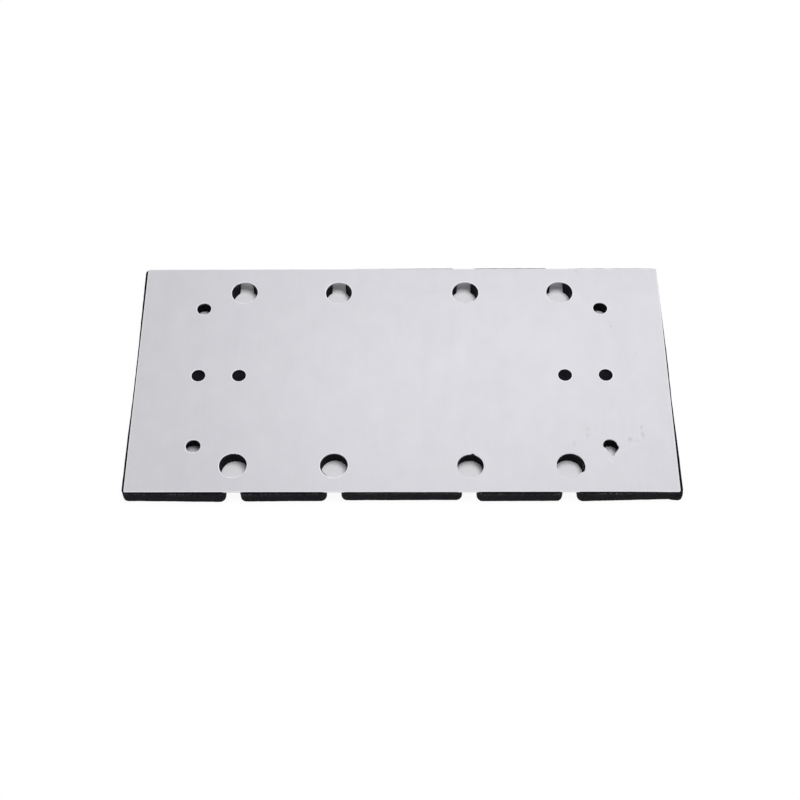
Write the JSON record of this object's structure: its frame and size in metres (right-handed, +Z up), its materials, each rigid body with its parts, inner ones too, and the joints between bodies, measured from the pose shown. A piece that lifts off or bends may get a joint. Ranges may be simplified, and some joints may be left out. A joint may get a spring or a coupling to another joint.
{
  "type": "orbital sander base plate",
  "caption": "Flat oblong base plate for a sheet sander: an aluminium plate with screw and dust holes, bonded to a black cushion pad with dust channels to its long edges.",
  "frame": {"origin": "centre of the cushion pad's underside, on the surface that the part lies on", "axes": "+X along the plate's length, +Y across it from the edge by the torn screw hole to the other long edge, +Z up out of the plate's bare face"},
  "size_m": [0.1864, 0.095, 0.0055],
  "materials": {
    "plate": "thin satin rolled sheet with faint grain",
    "pad": "matte foam rubber"
  },
  "bodies": {
    "root": {"backing_plate": "plate", "cushion_pad": "pad"}
  },
  "joints": []
}
